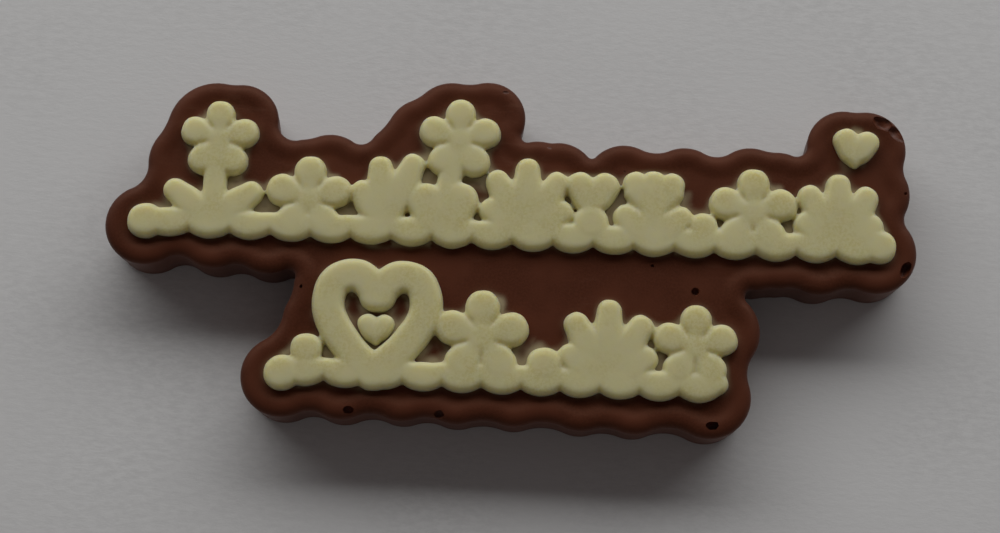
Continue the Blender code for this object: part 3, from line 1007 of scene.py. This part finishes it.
def fused(name, mesh, sizes, material):
    """Melt overlapping domes into one skin, as one pour of chocolate would be."""
    item = mesh_object(name, mesh, material)
    melt = item.modifiers.new("melt", "REMESH")
    melt.mode = "VOXEL"
    melt.voxel_size = sizes.skin_step / MM
    melt.use_smooth_shade = True
    soften = item.modifiers.new("soften", "SMOOTH")
    soften.factor = 0.5
    soften.iterations = sizes.softness
    melted = evaluated_mesh(item)
    item.modifiers.clear()
    item.data = melted
    melted.name = name
    melted.materials.clear()
    melted.materials.append(material)
    return item


def keep_in_box(mesh, node):
    """Scale the relief's height so that it stays under its solid's top."""
    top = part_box(node)[1].z / MM
    places = read_places(mesh)
    excess = places[:, 2].max() - top
    field = BASE_HIGH.z / MM
    if excess > 0:
        raised = places[:, 2] > field
        span = places[:, 2].max() - field
        places[raised, 2] = field + (places[raised, 2] - field) * (span - excess) / span
        write_places(mesh, places)


# Settings

class PlaqueBodySettings(bpy.types.PropertyGroup):
    field_depth: bpy.props.FloatProperty(
        name="Field depth", description="How far the field lies below the rim's crest",
        default=0.00028, min=0.0, unit="LENGTH", subtype="DISTANCE", precision=5)
    wall_lean: bpy.props.FloatProperty(
        name="Wall lean", description="How far the wall's foot lies inside the outline",
        default=0.0004, min=0.0, unit="LENGTH", subtype="DISTANCE", precision=5)
    shoulder_width: bpy.props.FloatProperty(
        name="Shoulder width", description="From the outline to the rim's crest",
        default=0.00135, min=0.0, unit="LENGTH", subtype="DISTANCE", precision=5)
    shoulder_height: bpy.props.FloatProperty(
        name="Shoulder height", description="From the top of the straight wall to the rim's crest",
        default=0.0009, min=0.0, unit="LENGTH", subtype="DISTANCE", precision=5)
    rim_width: bpy.props.FloatProperty(
        name="Rim width", description="From the outline to the edge of the flat field",
        default=0.003, min=0.0, unit="LENGTH", subtype="DISTANCE", precision=5)
    unevenness: bpy.props.FloatProperty(
        name="Unevenness", description="Height of the slow waves in the cast surface",
        default=0.00004, min=0.0, unit="LENGTH", subtype="DISTANCE", precision=6)
    mesh_step: bpy.props.FloatProperty(
        name="Mesh step", description="Spacing of the points on the body",
        default=0.0003, min=0.0001, unit="LENGTH", subtype="DISTANCE", precision=5)
    milk_colour: bpy.props.FloatVectorProperty(
        name="Milk chocolate", description="Colour of the body", default=(0.082, 0.0226, 0.0106),
        size=3, min=0.0, max=1.0, subtype="COLOR")
    smear_colour: bpy.props.FloatVectorProperty(
        name="Smear", description="Colour of thin white chocolate over brown", default=(0.40, 0.345, 0.225),
        size=3, min=0.0, max=1.0, subtype="COLOR")
    smear_strength: bpy.props.FloatProperty(
        name="Smear strength", description="How milky the smears are", default=0.85, min=0.0, max=1.0,
        subtype="FACTOR")


class PlaqueGarlandSettings(bpy.types.PropertyGroup):
    shoulder_width: bpy.props.FloatProperty(
        name="Shoulder width", description="From a stroke's edge to its flat top",
        default=0.00078, min=0.0001, unit="LENGTH", subtype="DISTANCE", precision=5)
    squareness: bpy.props.FloatProperty(
        name="Squareness", description="2 gives a round shoulder and higher values a steeper edge",
        default=2.6, min=2.0, max=6.0)
    spread: bpy.props.FloatProperty(
        name="Spread", description="Extra half width, which the melting of the edges takes up",
        default=0.0001, min=0.0, unit="LENGTH", subtype="DISTANCE", precision=5)
    wander: bpy.props.FloatProperty(
        name="Wander", description="How far stroke edges stray from their path",
        default=0.00035, min=0.0, unit="LENGTH", subtype="DISTANCE", precision=5)
    skin_step: bpy.props.FloatProperty(
        name="Skin step", description="Spacing of the points on the melted skin",
        default=0.00018, min=0.0001, unit="LENGTH", subtype="DISTANCE", precision=5)
    softness: bpy.props.IntProperty(
        name="Softness", description="Rounds of smoothing over joins", default=9, min=0, max=60)
    white_colour: bpy.props.FloatVectorProperty(
        name="White chocolate", description="Colour of the garlands", default=(0.70, 0.65, 0.36),
        size=3, min=0.0, max=1.0, subtype="COLOR")


class PlaqueStageSettings(bpy.types.PropertyGroup):
    paper_colour: bpy.props.FloatVectorProperty(
        name="Paper", description="Colour of the sheet under the plaque", default=(0.75, 0.755, 0.755),
        size=3, min=0.0, max=1.0, subtype="COLOR")
    window_power: bpy.props.FloatProperty(
        name="Window power", description="Strength of the soft light from the upper edge's side",
        default=5.75, min=0.0)
    window_elevation: bpy.props.FloatProperty(
        name="Window elevation", description="Height of the light above the horizon",
        default=math.radians(35.5), subtype="ANGLE", unit="ROTATION")
    window_azimuth: bpy.props.FloatProperty(
        name="Window azimuth", description="Direction of the light, anticlockwise from +X",
        default=math.radians(91.5), subtype="ANGLE", unit="ROTATION")
    return_power: bpy.props.FloatProperty(
        name="Return power", description="Strength of the weak light that comes back from the near side",
        default=0.3, min=0.0)
    room_light: bpy.props.FloatProperty(
        name="Room light", description="Brightness of the even light from all round",
        default=0.060, min=0.0)
    camera_elevation: bpy.props.FloatProperty(
        name="Camera elevation", description="Height of the camera above the horizon",
        default=math.radians(77.5), subtype="ANGLE", unit="ROTATION")
    camera_turn: bpy.props.FloatProperty(
        name="Camera turn", description="How far the rows run down to the right in the picture",
        default=math.radians(2.4), subtype="ANGLE", unit="ROTATION")
    camera_distance: bpy.props.FloatProperty(
        name="Camera distance", description="From the lens to the field",
        default=0.26, min=0.05, unit="LENGTH", subtype="DISTANCE")
    camera_lens: bpy.props.FloatProperty(
        name="Lens", description="Focal length in millimetres on a 36 mm frame", default=79.97, min=10.0)


# Operators

def shared_group(name, make):
    found = bpy.data.node_groups.get(name)
    return found if found else make()


def towards(azimuth, elevation):
    """The unit direction at an angle anticlockwise from +X and an angle above the horizon."""
    flat = math.cos(elevation)
    return Vector((flat * math.cos(azimuth), flat * math.sin(azimuth), math.sin(elevation)))


def chocolate_groups():
    """The grain and the rubs, each made once and shared by the chocolates."""
    grain = shared_group("Chocolate grain", chocolate_grain_group)
    rubs = shared_group("Handling rubs", scuff_group)
    return grain, rubs


class PLAQUE_OT_body(bpy.types.Operator):
    """Cast the milk-chocolate body with its rim, burst bubbles and milky smears"""
    bl_idname = "plaque.body"
    bl_label = "Chocolate body"

    def execute(self, context):
        settings = context.scene.plaque_body
        grain, rubs = chocolate_groups()
        milk = milk_chocolate(settings, grain, rubs)
        broken = bubble_chocolate(settings, grain)
        body = build_body_mesh(settings)
        roughen_body(body, settings)
        mesh = bpy.data.meshes.new("chocolate_body")
        body.to_mesh(mesh)
        body.free()
        item = mesh_object("chocolate_body", mesh, milk)
        cut_blemishes(item, broken)
        store_smears(item.data)
        to_frame(item.data)
        item.data.shade_smooth()
        item.data.set_sharp_from_angle(angle=math.radians(50))
        finish_piece(item, "milk_chocolate", "plaque_base")
        return {"FINISHED"}


class PLAQUE_OT_garlands(bpy.types.Operator):
    """Pour the white-chocolate garlands and the two small hearts"""
    bl_idname = "plaque.garlands"
    bl_label = "White-chocolate garlands"

    def execute(self, context):
        settings = context.scene.plaque_garlands
        grain, rubs = chocolate_groups()
        white = white_chocolate(settings, grain, rubs)
        tree = garland_tree(white)
        for node, draw in GARLANDS.items():
            name = node + "_relief"
            mesh = swept_strokes(name, draw(), tree, settings)
            item = fused(name, mesh, settings, white)
            keep_in_box(item.data, node)
            to_frame(item.data)
            item.data.shade_smooth()
            finish_piece(item, "white_chocolate", node)
        return {"FINISHED"}


class PLAQUE_OT_stage(bpy.types.Operator):
    """Set up the paper, the soft window light and the camera"""
    bl_idname = "plaque.stage"
    bl_label = "Studio"

    def execute(self, context):
        settings = context.scene.plaque_stage
        self.lay_paper(settings)
        self.hang_lights(context.scene, settings)
        self.place_camera(context.scene, settings)
        context.scene.view_settings.view_transform = "Standard"
        return {"FINISHED"}

    def lay_paper(self, settings):
        sheet = bmesh.new()
        bmesh.ops.create_grid(sheet, x_segments=8, y_segments=8, size=PAPER_HALF_SIZE)
        mesh = bpy.data.meshes.new("studio_paper")
        sheet.to_mesh(mesh)
        sheet.free()
        mesh_object("studio_paper", mesh, paper(settings))

    def hang_lights(self, scene, settings):
        self.hang_lamp(scene, "window", settings.window_azimuth, settings.window_elevation,
                       WINDOW_SIZE, settings.window_power)
        self.hang_lamp(scene, "return", RETURN_AZIMUTH, RETURN_ELEVATION, RETURN_SIZE, settings.return_power)
        world = bpy.data.worlds.new("room")
        world.use_nodes = True
        background = world.node_tree.nodes["Background"]
        background.inputs["Color"].default_value = ROOM_TONE
        background.inputs["Strength"].default_value = settings.room_light
        scene.world = world

    def hang_lamp(self, scene, name, azimuth, elevation, size, power):
        """A flat lamp that faces the plaque from a set direction."""
        direction = towards(azimuth, elevation)
        lamp = bpy.data.lights.new(name, "AREA")
        lamp.shape = "RECTANGLE"
        lamp.size, lamp.size_y = size
        lamp.energy = power
        lamp.color = LAMP_TONE
        item = bpy.data.objects.new(name, lamp)
        item.location = direction * LAMP_DISTANCE
        item.rotation_euler = direction.to_track_quat("Z", "Y").to_euler()
        scene.collection.objects.link(item)

    def place_camera(self, scene, settings):
        """The camera looks down on the plaque from a little to the lower edge's side."""
        field = BASE_HIGH.z / MM - SOLID_FIELD_DEPTH
        aim = Vector((CAMERA_AIM[0] - CENTRE[0], CAMERA_AIM[1] - CENTRE[1], field)) * MM
        back = towards(settings.camera_turn - math.pi / 2, settings.camera_elevation)
        lens = bpy.data.cameras.new("camera")
        lens.lens = settings.camera_lens
        lens.sensor_width = 36.0
        lens.sensor_fit = "HORIZONTAL"
        lens.clip_start = 0.005
        item = bpy.data.objects.new("camera", lens)
        item.location = aim + back * settings.camera_distance
        item.rotation_euler = back.to_track_quat("Z", "Y").to_euler()
        scene.collection.objects.link(item)
        scene.camera = item


class PLAQUE_PT_panel(bpy.types.Panel):
    """Lists the steps that build the plaque"""
    bl_idname = "PLAQUE_PT_panel"
    bl_label = "Chocolate plaque"
    bl_space_type = "VIEW_3D"
    bl_region_type = "UI"
    bl_category = "Plaque"

    def draw(self, context):
        for settings, operator in (
                (context.scene.plaque_body, "plaque.body"),
                (context.scene.plaque_garlands, "plaque.garlands"),
                (context.scene.plaque_stage, "plaque.stage")):
            box = self.layout.box()
            for name in settings.bl_rna.properties.keys():
                if name not in ("rna_type", "name"):
                    box.prop(settings, name)
            box.operator(operator)


SETTINGS = {
    "plaque_body": PlaqueBodySettings,
    "plaque_garlands": PlaqueGarlandSettings,
    "plaque_stage": PlaqueStageSettings,
}
CLASSES = [*SETTINGS.values(), PLAQUE_OT_body, PLAQUE_OT_garlands, PLAQUE_OT_stage, PLAQUE_PT_panel]


def register():
    for item in CLASSES:
        bpy.utils.register_class(item)
    for name, kind in SETTINGS.items():
        setattr(bpy.types.Scene, name, bpy.props.PointerProperty(type=kind))


def unregister():
    for name in SETTINGS:
        delattr(bpy.types.Scene, name)
    for item in reversed(CLASSES):
        bpy.utils.unregister_class(item)


def main():
    register()
    bpy.ops.plaque.body()
    bpy.ops.plaque.garlands()
    bpy.ops.plaque.stage()


if __name__ == "__main__":
    main()
